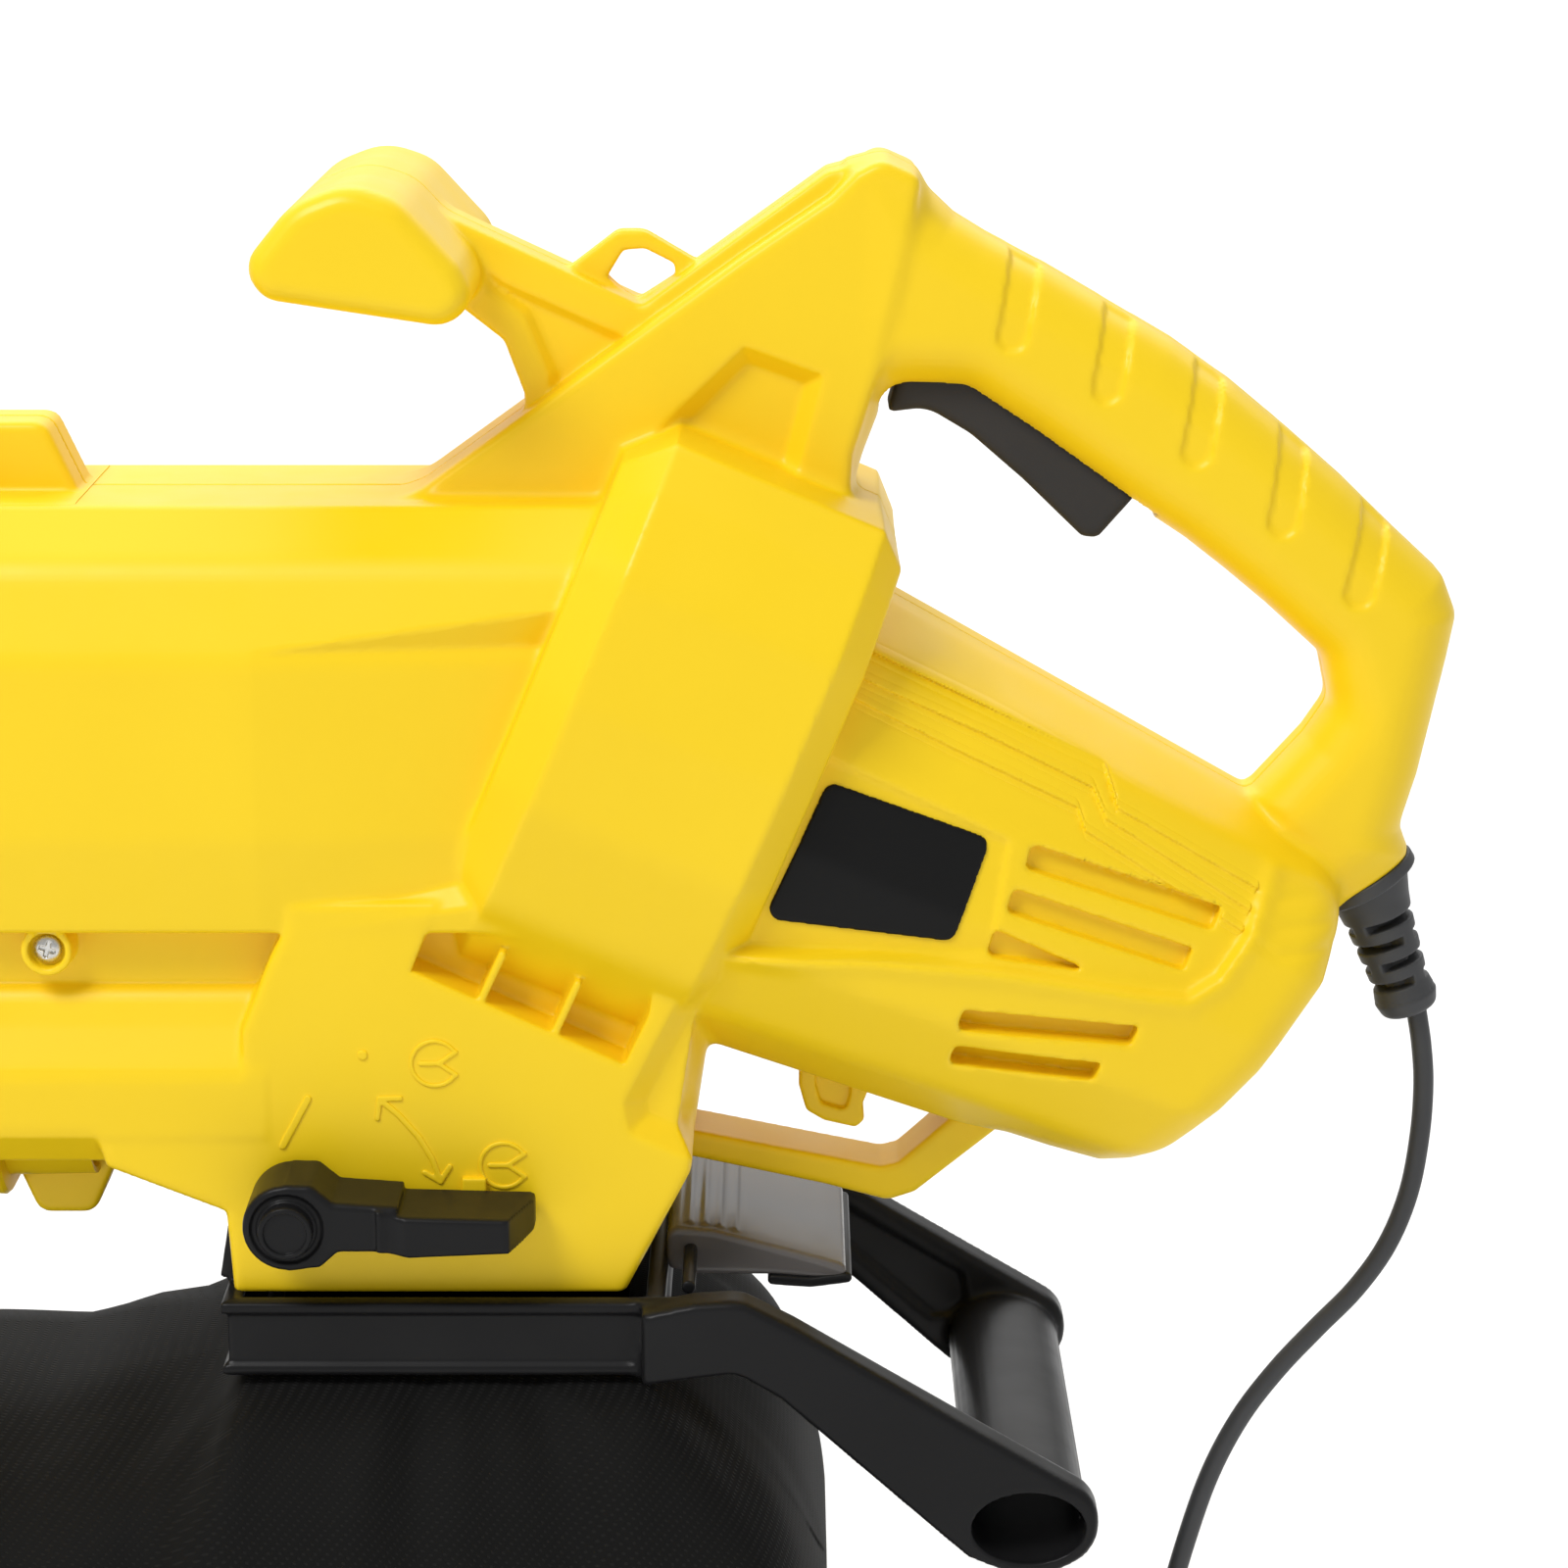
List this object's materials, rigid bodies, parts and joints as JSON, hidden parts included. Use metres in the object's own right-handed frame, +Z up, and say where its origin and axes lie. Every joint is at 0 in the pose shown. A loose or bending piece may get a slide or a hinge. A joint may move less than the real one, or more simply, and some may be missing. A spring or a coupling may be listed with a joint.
{
  "type": "leaf blower",
  "caption": "Hand-held electric garden blower and vacuum with a twin tube, a flap lever that picks blowing or suction, and a full cloth collection bag on a clip-on frame.",
  "frame": {"origin": "on the floor under the bag, at the middle of the tool's length and width without its cord", "axes": "+X from the tubes' mouths back to the grip, +Y to the operator's right, +Z up"},
  "size_m": [1.0053, 0.251, 0.6339],
  "materials": {
    "casing_yellow": "satin moulded plastic",
    "guard_yellow": "satin moulded plastic",
    "frame_black": "satin moulded plastic",
    "trigger_grey": "fine textured",
    "label_black": "smooth label film",
    "bag_cloth": "non-woven cloth with pressed dots",
    "cord_rubber": "matt rubber",
    "steel": "zinc plated",
    "laminated_steel": "stacked sheet edges",
    "copper": "turned copper bars",
    "brass": "pressed brass",
    "nylon_black": "glass-filled nylon"
  },
  "bodies": {
    "housing": {"duct_shell_left": "casing_yellow", "duct_shell_right": "casing_yellow", "fan_drum_left": "casing_yellow", "fan_drum_right": "casing_yellow", "chute_shell_left": "casing_yellow", "chute_shell_right": "casing_yellow", "motor_shell_left": "casing_yellow", "motor_shell_right": "casing_yellow", "handle_shell_left": "casing_yellow", "handle_shell_right": "casing_yellow", "brush_holder_left": "brass", "brush_holder_right": "brass", "blow_stub": "casing_yellow", "front_handle": "casing_yellow", "strap_eye": "casing_yellow", "lower_guard": "guard_yellow", "cable_hook": "guard_yellow", "label_plate": "label_black", "suction_tube": "casing_yellow", "blow_tube": "casing_yellow", "motor_stator": "laminated_steel", "motor_bracket": "nylon_black", "front_bearing": "steel", "rear_bracket": "nylon_black", "rear_bearing": "steel", "trigger_pin": "steel", "switch_block": "nylon_black", "strain_relief": "cord_rubber", "power_cord": "cord_rubber", "plug": "cord_rubber", "casing_screw_1": "steel", "casing_screw_2": "steel", "casing_screw_3": "steel", "casing_screw_4": "steel", "casing_screw_5": "steel", "casing_screw_6": "steel"},
    "trigger": {"trigger": "trigger_grey"},
    "rotor": {"motor_shaft": "steel", "armature": "laminated_steel", "commutator": "copper", "cooling_fan": "nylon_black", "impeller": "nylon_black", "impeller_nut": "steel"},
    "selector": {"selector_lever": "frame_black", "selector_shaft": "nylon_black", "lever_cap": "frame_black", "airflow_flap": "nylon_black"},
    "bag_carrier": {"bag_frame": "frame_black", "collection_bag": "bag_cloth", "latch_pin": "steel"},
    "latch": {"bag_latch": "frame_black"}
  },
  "joints": [
    {"name": "trigger_pivot", "type": "hinge", "parent": "housing", "child": "trigger", "pos_m": [0.3473, 0, 0.5795], "axis": [0, -1, 0], "range_deg": [0, 8], "stiffness_Nm_per_rad": 0.6, "springref_deg": -14.32},
    {"name": "selector_turn", "type": "hinge", "parent": "housing", "child": "selector", "pos_m": [0.1718, 0, 0.35], "axis": [0, -1, 0], "range_deg": [0, 50]},
    {"name": "rotor_spin", "type": "hinge", "parent": "housing", "child": "rotor", "pos_m": [0.2338, 0, 0.484], "axis": [0.9205, 0, -0.3907], "continuous": true},
    {"name": "bag_release", "type": "slide", "parent": "housing", "child": "bag_carrier", "axis": [0, 0, -1], "range_m": [0, 0.05]},
    {"name": "latch_pivot", "type": "hinge", "parent": "bag_carrier", "child": "latch", "pos_m": [0.2828, 0, 0.324], "axis": [0, 1, 0], "range_deg": [0, 10], "stiffness_Nm_per_rad": 0.4, "springref_deg": -11.46}
  ]
}
